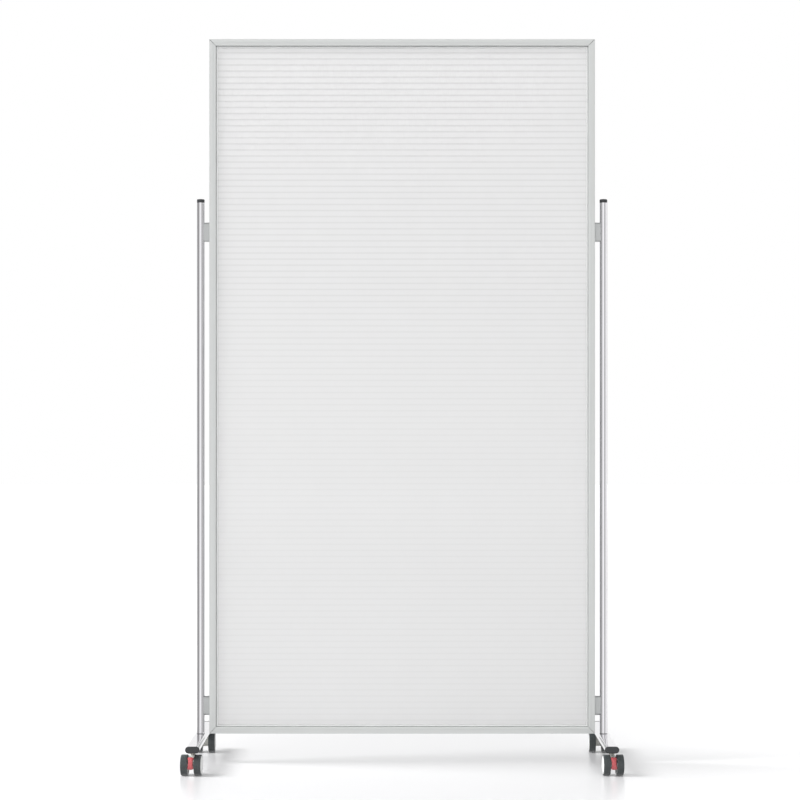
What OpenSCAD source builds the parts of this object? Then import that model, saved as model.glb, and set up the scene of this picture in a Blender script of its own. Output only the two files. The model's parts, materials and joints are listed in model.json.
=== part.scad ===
// Rolling partition: a framed multi-wall sheet held between two round uprights
// that stand on flat-oval feet with twin-wheel castors.
// The origin lies on the floor under the middle of the panel.
// +X runs to the right, -Y towards the viewer and +Z up.

/* [Panel] */
// Width of the framed panel
panel_w = 1000; // [700:10:1400]
// Height of the framed panel
panel_h = 1800; // [1500:10:2200]
// Depth of the frame rails, front to back
rail_depth = 26; // [26:1:40]
// Width of a rail's flat face, from the outer edge to the lip
rail_face = 17.5; // [16:0.5:30]
// Radius of a rail's outer edges
rail_edge_r = 1; // [0.5:0.5:3.5]
// Wall thickness at a rail's outer edge and round its chamber
rail_wall = 1.8; // [1.5:0.1:2.5]
// Depth of the closed chamber that takes the corner cleats
chamber_w = 6.2; // [6:0.1:9]
// Height of the panel's bottom edge above the top of the feet
panel_lift = 1; // [1:1:60]

/* [Infill sheet] */
// Thickness of the multi-wall sheet
sheet_t = 16; // [10:1:16]
// Thickness of the sheet's two outer skins
skin_t = 0.9; // [0.6:0.1:1.5]
// Thickness of the ribs between the skins
rib_t = 0.6; // [0.4:0.1:1.2]
// Distance from one rib to the next
rib_pitch = 15.73; // [12:0.01:24]
// Distance from the sheet's top edge to the middle of the first rib
first_rib = 8.8; // [4:0.1:12]
// Room between the sheet's edge and the floor of the rail's channel
sheet_play = 1; // [0.5:0.1:2]
// How far the gaskets show past the rail's lip
gasket_show = 4.5; // [3:0.5:8]
// Thickness of a gasket
gasket_t = 2.5; // [1.5:0.1:3]
// Thickness of a gasket at its inner edge
gasket_tip = 0.8; // [0.5:0.1:1.5]

/* [Corner joints] */
// Length of a corner cleat's leg
cleat_leg = 40; // [36:1:60]
// Distance from the panel's corner to a cleat screw
cleat_screw_at = 28; // [20:1:32]
// Diameter of a cleat screw
cleat_screw_d = 4; // [3:0.5:5]
// Diameter of a cleat screw's countersunk head
cleat_head_d = 7; // [6:0.5:8]
// Gap at a mitre between two rails
mitre_gap = 0.6; // [0.1:0.1:0.8]

/* [Uprights] */
// Outer diameter of an upright
tube_d = 20; // [18:1:28]
// Wall thickness of an upright
tube_wall = 1.5; // [1:0.1:2]
// Clear gap between an upright and the panel
side_gap = 12.5; // [10:0.5:30]
// Length of the upright above the upper bracket, without its cap
tube_over = 51.5; // [30:0.5:90]
// Height of the cap on an upright
tube_cap_h = 9.5; // [6:0.5:14]
// How far a cap's plug reaches into the upright
tube_plug_h = 16; // [10:1:24]
// Thickness of the washer under an upright
base_washer_t = 1; // [0.5:0.1:2]

/* [Brackets] */
// Height of a bracket
bracket_h = 50; // [46:1:60]
// Depth of a bracket, front to back
bracket_depth = 12; // [10:0.5:14]
// Height of the upper brackets' middle above the panel's bottom edge
upper_bracket = 1300; // [900:10:1400]
// Height of the lower brackets' middle above the panel's bottom edge
lower_bracket = 72; // [72:1:200]
// Distance between a bracket's two bolts
bolt_spacing = 28; // [24:1:32]
// Diameter of the bracket bolts
bolt_d = 6; // [5:0.5:6]
// Diameter of a bracket bolt's head
bolt_head_d = 10; // [9:0.5:10]
// Height of a bracket bolt's head
bolt_head_h = 4.5; // [3:0.5:5]
// Thickness of the threaded plate inside the rail
nut_plate_t = 4; // [3:0.5:5]

/* [Feet] */
// Overall length of a foot with its two end caps
foot_len = 580; // [480:10:700]
// Width of the flat-oval foot
foot_w = 35; // [34:1:44]
// Height of the flat-oval foot
foot_h = 16; // [16:1:20]
// Wall thickness of a foot
foot_wall = 1.8; // [1.5:0.1:2.5]
// Thickness of an end cap outside the foot
foot_cap_t = 6; // [4:0.5:10]
// How far an end cap stands proud of the foot all round
cap_over = 0.5; // [0.2:0.1:1]
// Rounding of an end cap's outer edge
foot_cap_r = 2.5; // [1:0.5:3.5]
// How far an end cap's plug reaches into the foot
foot_plug = 14; // [8:1:20]
// Diameter of the bolt that holds an upright on its foot
foot_bolt_d = 8; // [6:1:8]
// Height of the threaded insert in an upright
insert_h = 24; // [18:1:40]

/* [Castors] */
// Wheel diameter over the tyre
wheel_d = 52; // [46:1:60]
// Width of one wheel
wheel_w = 17.5; // [15:0.5:22]
// Gap between a castor's two wheels
wheel_gap = 16; // [16:0.5:20]
// Clear height between the wheels and the foot
castor_clear = 6; // [5:0.5:20]
// Distance from a castor's stem back to its axle
castor_trail = 25; // [23:0.5:30]
// Distance from a foot's end to the castor's stem
stem_inset = 52; // [40:1:90]
// Distance of a castor's stem outwards from the foot's middle line
stem_out = 2.5; // [0:0.5:3]
// Outward turn of the front castors at rest, in degrees
front_swivel = 3.5; // [0:0.5:20]
// Thickness of a tyre
tyre_t = 3.5; // [2.5:0.5:5]
// Rounding of a tyre's shoulders
tyre_r = 2; // [1:0.5:2.5]
// How far a wheel's face bulges past its tyre
wheel_bulge = 0.8; // [0:0.1:3]
// Diameter of an axle
axle_d = 8; // [6:0.5:8]
// Diameter of a stem
stem_d = 8; // [6:0.5:8]
// Diameter of the castor body's neck
neck_d = 15; // [13:0.5:15]
// Width of the castor body between the wheels
castor_body_w = 13; // [11:0.5:13]
// Radius of the castor body round its axle
axle_boss_r = 10; // [8:0.5:11]

/* [Brake levers] */
// Width of a lever's pads
pad_w = 15; // [13:0.5:15]
// Width of a lever between its pads
waist_w = 11.5; // [8:0.5:12]
// Thickness of a lever's curved plate
lever_t = 5; // [3:0.5:5]
// How far a lever lies inside the tyre's outline
lever_sink = 1; // [0.5:0.5:3]
// Angle of the upper pad's end, above the horizontal
lever_top = 60; // [56:1:70]
// Angle of the lower pad's end, above the horizontal
lever_foot = -24; // [-30:1:-16]
// Diameter of the lever's hinge pin
lever_pin_d = 3; // [2.5:0.5:4]

/* [Hidden] */
$fn = 64;
fit = 0.05; // radial running clearance of pins and shafts
seat = 0.1; // clearance of pieces that slot into one another
hole_play = 0.25; // radial clearance of a through hole round its bolt
over = 1; // how far a cutting shape runs past what it cuts

// Frame
rail_half = rail_depth / 2;
channel_u = rail_wall + chamber_w + rail_wall;
channel_half = sheet_t / 2 + gasket_t;
sheet_inset = channel_u + sheet_play;
sheet_w = panel_w - 2 * sheet_inset;
sheet_h = panel_h - 2 * sheet_inset;
chamber_half = rail_half - rail_wall;
groove_w = 0.8;
groove_deep = 0.4;
groove_u = 10.5;

// Castors and feet
wheel_r = wheel_d / 2;
foot_z = wheel_d + castor_clear;
foot_top = foot_z + foot_h;
foot_flat = foot_w - foot_h;
foot_tube_len = foot_len - 2 * foot_cap_t;
stem_y = foot_len / 2 - stem_inset;

// Panel and uprights
panel_z = foot_top + panel_lift;
panel_top = panel_z + panel_h;
tube_r = tube_d / 2;
tube_in_r = tube_r - tube_wall;
tube_x = panel_w / 2 + side_gap + tube_r;
stem_x = tube_x + stem_out;
tube_z0 = foot_top + base_washer_t;
tube_z1 = panel_z + upper_bracket + bracket_h / 2 + tube_over;

// Bracket bolts: the head seats on the chord of the upright's inner wall
bolt_hole_r = bolt_d / 2 + hole_play;
head_seat = sqrt(pow(tube_in_r, 2) - pow(bolt_head_d / 2, 2));
access_r = bolt_head_d / 2 + 0.5;
bolt_z = [for (b = [lower_bracket, upper_bracket], s = [-1, 1])
  panel_z + b + s * bolt_spacing / 2];

// Bolt between an upright and its foot
foot_bolt_head_d = 13;
foot_bolt_head_h = 5;
foot_access_r = foot_bolt_head_d / 2 + 0.75;
insert_fit_h = insert_h - 2;

// Castor body, stem and socket
neck_gap = 1.6; // between the neck's top and the foot
neck_top = foot_z - neck_gap;
collar_t = neck_gap - 0.3; // the stem's collar stands in that gap
collar_d = neck_d - 1;
stem_in_neck = 26;
stem_end = neck_top - stem_in_neck;
socket_d = foot_h - 2;
socket_h = foot_h - 2 * foot_wall;
neck_foot = stem_end - 4;

// Wheels
rim_r = wheel_r - tyre_t;
wheel_in_x = wheel_gap / 2;
wheel_out_x = wheel_in_x + wheel_w;
hub_boss_r = axle_d / 2 + 3;
side_play = 0.3; // between a hub's boss and the castor body
axle_half = wheel_in_x + wheel_w * 0.75;

// Brake lever, drawn about the axle
lever_r1 = wheel_r - lever_sink;
lever_r0 = lever_r1 - lever_t;
lever_mid = (lever_top + lever_foot) / 2;
lever_pin_r = lever_r0 - 6.5; // distance of the hinge pin from the axle
lug_w = 5;
lug_play = 0.3;
pin_boss_r = lever_pin_d / 2 + 2.5;
pad_angle = 24; // arc that each pad takes up
pad_step = 0.6; // how far the pads stand out of the lever's waist

SIDES = [["left", -1], ["right", 1]];
ENDS = [["front", -1], ["rear", 1]];
LEVELS = [["lower", lower_bracket], ["upper", upper_bracket]];
WHEELS = [["outer", 1], ["inner", -1]];

// Points along an arc, for a polygon
function arc(c, r, from, to, steps = 6) =
  [for (i = [0 : steps])
    let (a = from + (to - from) * i / steps)
    [c[0] + r * cos(a), c[1] + r * sin(a)]];

// ---------- helpers ----------

// A cylinder along X, from x0 to x1
module rod_x(r, x0, x1) {
  translate([x0, 0, 0]) rotate([0, 90, 0]) cylinder(r = r, h = x1 - x0);
}

// A flat-oval bar along Y, centred on X and Z
module oval_bar(w, h, len) {
  cube([w - h, len, h], center = true);
  for (s = [-1, 1])
    translate([s * (w - h) / 2, 0, 0])
      rotate([90, 0, 0]) cylinder(r = h / 2, h = len, center = true);
}

// A shape for the left side, repeated on the right
module both_sides() {
  children();
  mirror([1, 0, 0]) children();
}

// ---------- panel ----------

// Section of a rail: x runs from the outer edge inwards, y across the depth
module rail_section() {
  half_groove = [
    [groove_u - groove_w / 2, rail_half],
    [groove_u - groove_w / 2, rail_half - groove_deep],
    [groove_u + groove_w / 2, rail_half - groove_deep],
    [groove_u + groove_w / 2, rail_half]
  ];
  back = concat(
    arc([rail_edge_r, rail_half - rail_edge_r], rail_edge_r, 180, 90),
    half_groove,
    [[rail_face, rail_half], [rail_face, channel_half], [channel_u, channel_half]]
  );
  count = len(back);
  front = [for (i = [count - 1 : -1 : 0]) [back[i][0], -back[i][1]]];
  difference() {
    polygon(concat(back, front));
    translate([rail_wall, -chamber_half]) square([chamber_w, 2 * chamber_half]);
  }
}

// Keeps what lies between a rail's two mitres
module mitre_mask(length) {
  end = length / 2 - mitre_gap / 2;
  rotate([90, 0, 0])
    linear_extrude(height = rail_depth + 2 * over, center = true)
      polygon([
        [-over, end + over],
        [-over, -end - over],
        [rail_face + over, -end + rail_face + over],
        [rail_face + over, end - rail_face - over]
      ]);
}

// An upright rail, centred on Z, with its outer edge at x = 0
module rail(length) {
  difference() {
    intersection() {
      linear_extrude(height = length, center = true) rail_section();
      mitre_mask(length);
    }
    for (s = [-1, 1])
      translate([0, 0, s * (length / 2 - cleat_screw_at)]) cleat_screw_hole();
  }
}

module cleat_screw_hole() {
  cone_h = (cleat_head_d - cleat_screw_d) / 2;
  rotate([0, 90, 0])
    cylinder(r1 = cleat_head_d / 2 + seat, r2 = cleat_screw_d / 2 + seat, h = cone_h);
  rod_x(cleat_screw_d / 2 + seat, -over, rail_wall + over);
}

module side_rail() {
  translate([-panel_w / 2, 0, panel_z + panel_h / 2])
    difference() {
      rail(panel_h);
      for (z = bolt_z)
        translate([0, 0, z - panel_z - panel_h / 2])
          rod_x(bolt_hole_r, -over, rail_wall + over);
    }
}

module left_rail() {
  color("#D4D6D5") side_rail();
}

module right_rail() {
  color("#D4D6D5") mirror([1, 0, 0]) side_rail();
}

module bottom_rail() {
  color("#CACCCB") translate([0, 0, panel_z]) rotate([0, -90, 0]) rail(panel_w);
}

module top_rail() {
  color("#D4D6D5") translate([0, 0, panel_top]) rotate([0, 90, 0]) rail(panel_w);
}

// Two skins joined by ribs that run across the panel
module infill_sheet() {
  flute_h = rib_pitch - rib_t;
  flutes = ceil((sheet_h - first_rib) / rib_pitch) + 1;
  top = panel_top - sheet_inset;
  color("#E7E7E7")
    difference() {
      translate([-sheet_w / 2, -sheet_t / 2, top - sheet_h]) cube([sheet_w, sheet_t, sheet_h]);
      for (i = [0 : flutes - 1])
        translate([
          -sheet_w / 2 - over,
          -sheet_t / 2 + skin_t,
          top - first_rib - i * rib_pitch + rib_t / 2
        ])
          cube([sheet_w + 2 * over, sheet_t - 2 * skin_t, flute_h]);
    }
}

// A flat ring between the rails' lips and one skin of the sheet
module gasket(face) {
  outer = channel_u;
  inner = rail_face + gasket_show;
  hole_w = panel_w - 2 * inner;
  hole_h = panel_h - 2 * inner;
  color("#BEC0BF")
    translate([0, face * sheet_t / 2, panel_z + panel_h / 2])
      difference() {
        translate([0, face * gasket_t / 2, 0])
          cube([panel_w - 2 * outer, gasket_t, panel_h - 2 * outer], center = true);
        cube([hole_w, 2 * (gasket_t + over), hole_h], center = true);
        for (m = [0, 1]) {
          mirror([0, 0, m]) translate([0, 0, hole_h / 2]) gasket_taper(face, hole_w);
          mirror([m, 0, 0])
            rotate([0, 90, 0]) translate([0, 0, hole_w / 2]) gasket_taper(face, hole_h);
        }
      }
}

// Cuts a gasket's show from its full thickness down to its tip, along X
module gasket_taper(face, hole) {
  rotate([90, 0, 90])
    linear_extrude(height = hole + 2 * gasket_show, center = true)
      polygon([
        [face * gasket_tip, -over],
        [face * gasket_tip, 0],
        [face * gasket_t, gasket_show],
        [face * (gasket_t + over), gasket_show],
        [face * (gasket_t + over), -over]
      ]);
}

// Runs its children at the four corners, with x and z pointing into the panel
module at_corners() {
  for (x = [0, 1], z = [0, 1])
    translate([0, 0, panel_z + panel_h / 2])
      mirror([x, 0, 0])
        mirror([0, 0, z])
          translate([-panel_w / 2, 0, -panel_h / 2]) children();
}

module corner_cleats() {
  start = rail_wall + seat;
  leg_w = chamber_w - 2 * seat;
  depth = 2 * (chamber_half - seat);
  color("#8E9092")
    at_corners()
      difference() {
        union() {
          translate([start, -depth / 2, start]) cube([leg_w, depth, cleat_leg - start]);
          translate([start, -depth / 2, start]) cube([cleat_leg - start, depth, leg_w]);
        }
        translate([0, 0, cleat_screw_at])
          rod_x(cleat_screw_d / 2 + fit, 0, channel_u);
        translate([cleat_screw_at, 0, 0])
          rotate([0, -90, 0]) rod_x(cleat_screw_d / 2 + fit, 0, channel_u);
      }
}

module cleat_screw() {
  cone_h = (cleat_head_d - cleat_screw_d) / 2;
  rotate([0, 90, 0]) cylinder(r1 = cleat_head_d / 2, r2 = cleat_screw_d / 2, h = cone_h);
  rod_x(cleat_screw_d / 2, 0, rail_wall + chamber_w - seat);
}

module cleat_screws() {
  color("#B9BBBD")
    at_corners() {
      translate([0, 0, cleat_screw_at]) cleat_screw();
      translate([cleat_screw_at, 0, 0]) rotate([0, -90, 0]) cleat_screw();
    }
}

// ---------- uprights and brackets ----------

// Holes along X through both walls: small towards the panel, large outside
module upright_bores() {
  for (z = bolt_z)
    translate([0, 0, z]) {
      rod_x(bolt_hole_r, 0, tube_r + over);
      rod_x(access_r, -tube_r - over, 0);
    }
}

module upright_shape() {
  translate([-tube_x, 0, 0])
    difference() {
      translate([0, 0, tube_z0]) cylinder(r = tube_r, h = tube_z1 - tube_z0);
      translate([0, 0, tube_z0 - over]) cylinder(r = tube_in_r, h = tube_z1 - tube_z0 + 2 * over);
      upright_bores();
    }
}

module upright(side) {
  color("#CDCFD2") mirror([side > 0 ? 1 : 0, 0, 0]) upright_shape();
}

// Domed cap whose plug reaches into the upright
module upright_cap(side) {
  edge_r = tube_cap_h * 0.35;
  color("#434546")
    translate([side * tube_x, 0, tube_z1])
      rotate_extrude()
        polygon(concat(
          [[0, -tube_plug_h], [tube_in_r - seat, -tube_plug_h]],
          [[tube_in_r - seat, 0], [tube_r, 0]],
          arc([tube_r - edge_r, tube_cap_h - edge_r], edge_r, 0, 90),
          [[0, tube_cap_h]]
        ));
}

// Spacer with round ends, hollowed on one side to sit on the upright
module bracket(side, level) {
  color("#B4B6B6")
    mirror([side > 0 ? 1 : 0, 0, 0])
      translate([-tube_x, 0, panel_z + level])
        difference() {
          union() {
            translate([0, -bracket_depth / 2, -(bracket_h - bracket_depth) / 2])
              cube([tube_r + side_gap, bracket_depth, bracket_h - bracket_depth]);
            for (s = [-1, 1])
              translate([0, 0, s * (bracket_h - bracket_depth) / 2])
                rod_x(bracket_depth / 2, 0, tube_r + side_gap);
          }
          cylinder(r = tube_r, h = bracket_h + 2 * over, center = true);
          for (s = [-1, 1])
            translate([0, 0, s * bolt_spacing / 2])
              rod_x(bolt_hole_r, 0, tube_r + side_gap + over);
        }
}

module bracket_bolts() {
  tip = tube_r + side_gap + rail_wall + nut_plate_t;
  color("#9A9C9E")
    both_sides()
      for (z = bolt_z)
        translate([-tube_x, 0, z])
          difference() {
            union() {
              rod_x(bolt_head_d / 2, head_seat - bolt_head_h, head_seat);
              rod_x(bolt_d / 2, head_seat - bolt_head_h / 2, tip);
            }
            translate([head_seat - bolt_head_h - over, 0, 0])
              rotate([0, 90, 0]) cylinder(r = bolt_d / 3, h = over + bolt_head_h * 0.6, $fn = 6);
          }
}

// Threaded plates behind the side rails' outer wall
module nut_plates() {
  plate_h = bracket_h - 4;
  plate_d = 2 * chamber_half - 4;
  color("#8E9092")
    both_sides()
      for (level = [lower_bracket, upper_bracket])
        translate([-panel_w / 2 + rail_wall, 0, panel_z + level])
          difference() {
            translate([0, -plate_d / 2, -plate_h / 2]) cube([nut_plate_t, plate_d, plate_h]);
            for (s = [-1, 1])
              translate([0, 0, s * bolt_spacing / 2])
                rod_x(bolt_d / 2 + fit, -over, nut_plate_t + over);
          }
}

// Flush plugs that follow the upright's outer wall
module bolt_hole_plugs() {
  color("#CDCFD2")
    both_sides()
      for (z = bolt_z)
        translate([-tube_x, 0, z])
          intersection() {
            rod_x(access_r - seat, -tube_r - over, 0);
            difference() {
              cylinder(r = tube_r, h = 4 * access_r, center = true);
              cylinder(r = tube_in_r, h = 4 * access_r + over, center = true);
            }
          }
}

// ---------- feet ----------

module foot(side) {
  mid_z = foot_z + foot_h / 2;
  color("#CDCFD2")
    translate([side * tube_x, 0, 0])
      difference() {
        translate([0, 0, mid_z]) oval_bar(foot_w, foot_h, foot_tube_len);
        translate([0, 0, mid_z])
          oval_bar(foot_w - 2 * foot_wall, foot_h - 2 * foot_wall, foot_tube_len + 2 * over);
        // bolt up into the upright, and the hole below that lets its head in
        translate([0, 0, mid_z]) cylinder(r = foot_bolt_d / 2 + hole_play, h = foot_h);
        translate([0, 0, foot_z - over]) cylinder(r = foot_access_r, h = foot_wall + 2 * over);
        for (s = [-1, 1])
          translate([side * stem_out, s * stem_y, foot_z - over])
            cylinder(r = stem_d / 2 + hole_play, h = foot_wall + 2 * over);
      }
}

// Half of the end cap's side outline: x across, y out of the foot's end
function cap_edge(r) = concat(
  [[0, 0], [r, 0]],
  arc([r - foot_cap_r, foot_cap_t - foot_cap_r], foot_cap_r, 0, 90),
  [[0, foot_cap_t]]
);

// Rounded plate over the foot's end, with a plug inside the foot
module foot_cap(side, end) {
  r = foot_h / 2 + cap_over;
  color("#434546")
    translate([side * tube_x, end * foot_tube_len / 2, foot_z + foot_h / 2])
      mirror([0, end > 0 ? 0 : 1, 0]) {
        translate([0, -foot_plug / 2 + 0.25, 0])
          oval_bar(
            foot_w - 2 * foot_wall - 2 * seat,
            foot_h - 2 * foot_wall - 2 * seat,
            foot_plug + 0.5
          );
        for (s = [-1, 1])
          translate([s * foot_flat / 2, 0, 0]) rotate([-90, 0, 0]) rotate_extrude() polygon(cap_edge(r));
        for (z = [0, 1])
          mirror([0, 0, z])
            translate([-foot_flat / 2, 0, 0])
              rotate([90, 0, 90])
                linear_extrude(height = foot_flat)
                  polygon([for (p = cap_edge(r)) [p[1], p[0]]]);
      }
}

// Threaded plug in an upright's lower end
module upright_inserts() {
  color("#8E9092")
    both_sides()
      translate([-tube_x, 0, tube_z0])
        difference() {
          cylinder(r = tube_in_r - fit, h = insert_h);
          translate([0, 0, -over]) cylinder(r = foot_bolt_d / 2 + fit, h = insert_h + 2 * over);
        }
}

module upright_washers() {
  color("#434546")
    both_sides()
      translate([-tube_x, 0, foot_top])
        difference() {
          cylinder(r = tube_r, h = base_washer_t);
          translate([0, 0, -over])
            cylinder(r = foot_bolt_d / 2 + hole_play, h = base_washer_t + 2 * over);
        }
}

// The head lies inside the foot, against its upper wall
module foot_bolts() {
  head_top = foot_top - foot_wall;
  color("#9A9C9E")
    both_sides()
      translate([-tube_x, 0, 0])
        difference() {
          union() {
            translate([0, 0, head_top - foot_bolt_head_h])
              cylinder(r = foot_bolt_head_d / 2, h = foot_bolt_head_h);
            translate([0, 0, head_top - over])
              cylinder(r = foot_bolt_d / 2, h = foot_wall + base_washer_t + insert_fit_h + over);
          }
          translate([0, 0, head_top - foot_bolt_head_h - over])
            cylinder(r = foot_bolt_d / 3, h = foot_bolt_head_h * 0.6 + over, $fn = 6);
        }
}

// ---------- castors ----------

// Runs its children at one castor, with the axle along X and the trail to -Y
module at_castor(side, end) {
  turn = end < 0 ? side * front_swivel : 0;
  translate([side * stem_x, end * stem_y, 0]) rotate([0, 0, turn]) children();
}

module at_every_castor() {
  for (side = [-1, 1], end = [-1, 1]) at_castor(side, end) children();
}

// Sleeves between a foot's walls that take the stems
module stem_sockets() {
  color("#8E9092")
    at_every_castor()
      translate([0, 0, foot_z + foot_wall])
        difference() {
          cylinder(r = socket_d / 2, h = socket_h);
          translate([0, 0, -over]) cylinder(r = stem_d / 2 + fit, h = socket_h);
        }
}

module castor_stems() {
  color("#9A9C9E")
    at_every_castor() {
      translate([0, 0, stem_end + side_play])
        cylinder(r = stem_d / 2, h = foot_z + foot_wall + socket_h - 2 * over - stem_end);
      translate([0, 0, foot_z - collar_t]) cylinder(r = collar_d / 2, h = collar_t);
    }
}

// Point at an angle above the horizontal, in front of the axle, as [y, z]
function round_axle(r, a) = [-castor_trail - r * cos(a), wheel_r + r * sin(a)];

// A plate across the castor, drawn in [y, z] and centred on X
module cross_plate(width) {
  rotate([90, 0, 90]) linear_extrude(height = width, center = true) children();
}

// Body between the wheels: a boss round the axle, a web and the neck
module castor_body(braked) {
  pin = round_axle(lever_pin_r, lever_mid);
  hub = round_axle(axle_d / 2 + 1, lever_mid);
  across = [sin(lever_mid), cos(lever_mid)] * pin_boss_r;
  web = [
    [-castor_trail, wheel_r - axle_boss_r],
    [-castor_trail - axle_boss_r * 0.8, wheel_r + axle_boss_r * 0.6],
    [-castor_trail + 3, wheel_r + 17],
    [-neck_d / 2 - 4, wheel_d - 4],
    [0, wheel_d - 1],
    [0, neck_foot]
  ];
  color("#C4C4C0")
    difference() {
      union() {
        translate([0, -castor_trail, wheel_r])
          rod_x(axle_boss_r, -castor_body_w / 2, castor_body_w / 2);
        cross_plate(castor_body_w) polygon(web);
        translate([0, 0, neck_foot]) cylinder(r = neck_d / 2, h = neck_top - neck_foot);
        if (braked) {
          cross_plate(castor_body_w) polygon([hub + across, hub - across, pin - across, pin + across]);
          translate([0, pin[0], pin[1]]) rod_x(pin_boss_r, -castor_body_w / 2, castor_body_w / 2);
        }
      }
      translate([0, 0, stem_end]) cylinder(r = stem_d / 2 + fit, h = stem_in_neck + over);
      translate([0, -castor_trail, wheel_r])
        rod_x(axle_d / 2 + fit, -castor_body_w, castor_body_w);
      if (braked) {
        translate([0, pin[0], pin[1]]) {
          rod_x(lever_pin_d / 2 + fit, -castor_body_w, castor_body_w);
          rod_x(pin_boss_r + 1, -lug_w / 2 - lug_play, lug_w / 2 + lug_play);
        }
      }
    }
}

module axle() {
  color("#9A9C9E")
    translate([0, -castor_trail, wheel_r]) rod_x(axle_d / 2, -axle_half, axle_half);
}

// Wheel turned about its axle: out = 1 faces +X, -1 faces -X
module on_axle(out) {
  translate([0, -castor_trail, wheel_r])
    mirror([out > 0 ? 0 : 1, 0, 0])
      rotate([0, 90, 0]) rotate_extrude() children();
}

// Light plastic wheel with a closed, gently domed outer face
module wheel(out) {
  recess = 2;
  lip = rim_r - 2.5;
  dish = wheel_out_x - 0.5;
  color("#D0D2D2")
    on_axle(out)
      polygon(concat(
        [[axle_d / 2 + fit, castor_body_w / 2 + side_play]],
        [[hub_boss_r, castor_body_w / 2 + side_play]],
        [[hub_boss_r, wheel_in_x + recess], [lip, wheel_in_x + recess]],
        [[lip, wheel_in_x + 0.2], [rim_r, wheel_in_x + 0.2]],
        [[rim_r, dish]],
        [for (i = [0 : 8])
          let (r = rim_r * (1 - i / 8) - 0.6 * (i == 0 ? 1 : 0))
          [r, dish + 0.4 + wheel_bulge * (1 - pow(r / rim_r, 2))]],
        [[0, axle_half + side_play], [axle_d / 2 + fit, axle_half + side_play]]
      ));
}

module tyre(out) {
  color("#2E3032")
    on_axle(out)
      polygon(concat(
        [[rim_r, wheel_in_x]],
        arc([wheel_r - tyre_r, wheel_in_x + tyre_r], tyre_r, -90, 0),
        arc([wheel_r - tyre_r, wheel_out_x - tyre_r], tyre_r, 0, 90),
        [[rim_r, wheel_out_x]]
      ));
}

// Curved sector round the axle, from one angle above the horizontal to another
module axle_sector(r0, r1, from, to, width) {
  steps = 8;
  outer = [for (i = [0 : steps]) round_axle(r1, from + (to - from) * i / steps)];
  inner = [for (i = [steps : -1 : 0]) round_axle(r0, from + (to - from) * i / steps)];
  cross_plate(width) polygon(concat(outer, inner));
}

// Curved rocker with a pad at each end and a lug that takes its pin
module brake_lever() {
  pin = round_axle(lever_pin_r, lever_mid);
  tip = round_axle(lever_r0 + lever_t / 2, lever_mid);
  across = [sin(lever_mid), cos(lever_mid)] * pin_boss_r;
  color("#C8373C")
    difference() {
      union() {
        axle_sector(lever_r0, lever_r1 - pad_step, lever_foot + 4, lever_top - 4, waist_w);
        axle_sector(lever_r0, lever_r1, lever_foot, lever_foot + pad_angle, pad_w);
        axle_sector(lever_r0, lever_r1, lever_top - pad_angle, lever_top, pad_w);
        cross_plate(lug_w) polygon([pin + across, pin - across, tip - across, tip + across]);
        translate([0, pin[0], pin[1]]) rod_x(pin_boss_r, -lug_w / 2, lug_w / 2);
      }
      translate([0, pin[0], pin[1]]) rod_x(lever_pin_d / 2 + fit, -lug_w, lug_w);
    }
}

module lever_pin() {
  pin = round_axle(lever_pin_r, lever_mid);
  color("#9A9C9E")
    translate([0, pin[0], pin[1]])
      rod_x(lever_pin_d / 2, -castor_body_w / 2 + 0.5, castor_body_w / 2 - 0.5);
}

// ---------- drawing ----------

top_rail();
bottom_rail();
left_rail();
right_rail();
infill_sheet();
gasket(-1);  // front_gasket
gasket(1);  // rear_gasket
corner_cleats();
cleat_screws();
nut_plates();
bracket_bolts();
bolt_hole_plugs();
upright_inserts();
upright_washers();
foot_bolts();
stem_sockets();
castor_stems();
for (s = SIDES) {
  upright(s[1]);
  upright_cap(s[1]);
  foot(s[1]);
  at_castor(s[1], -1) brake_lever();
  at_castor(s[1], -1) lever_pin();
}
for (l = LEVELS, s = SIDES)
  bracket(s[1], l[1]);
for (e = ENDS, s = SIDES) {
  place = str(e[0], "_", s[0]);
  foot_cap(s[1], e[1]);
  at_castor(s[1], e[1]) castor_body(e[1] < 0);
  at_castor(s[1], e[1]) axle();
  for (w = WHEELS) {
    out = w[1] * s[1];
    at_castor(s[1], e[1]) wheel(out);
    at_castor(s[1], e[1]) tyre(out);
  }
}
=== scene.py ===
"""Rolling partition: the looks of a framed multi-wall sheet on uprights, feet and twin-wheel castors."""

import json
import math

import bmesh
import bpy
import numpy as np
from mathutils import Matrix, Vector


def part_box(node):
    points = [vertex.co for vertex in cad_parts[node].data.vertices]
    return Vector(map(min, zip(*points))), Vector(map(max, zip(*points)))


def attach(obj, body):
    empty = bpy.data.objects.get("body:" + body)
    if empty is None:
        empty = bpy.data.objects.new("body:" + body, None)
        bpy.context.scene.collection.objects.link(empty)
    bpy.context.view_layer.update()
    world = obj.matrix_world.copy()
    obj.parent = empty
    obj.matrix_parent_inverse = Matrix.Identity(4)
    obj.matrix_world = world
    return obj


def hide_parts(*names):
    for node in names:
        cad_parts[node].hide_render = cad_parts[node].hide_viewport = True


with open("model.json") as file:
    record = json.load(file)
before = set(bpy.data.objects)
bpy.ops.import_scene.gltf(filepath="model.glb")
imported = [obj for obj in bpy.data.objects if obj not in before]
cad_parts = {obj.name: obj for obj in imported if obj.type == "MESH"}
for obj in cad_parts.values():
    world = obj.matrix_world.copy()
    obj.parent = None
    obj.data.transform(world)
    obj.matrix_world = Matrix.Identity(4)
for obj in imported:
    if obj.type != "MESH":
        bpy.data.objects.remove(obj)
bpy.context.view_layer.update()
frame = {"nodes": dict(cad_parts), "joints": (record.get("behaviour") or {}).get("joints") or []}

bl_info = {
    "name": "Rolling partition",
    "version": (1, 0, 0),
    "blender": (4, 5, 0),
    "location": "View3D > Sidebar > Partition",
    "description": "Builds the finished surfaces of a rolling room partition round its construction",
    "category": "Object",
}

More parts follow.
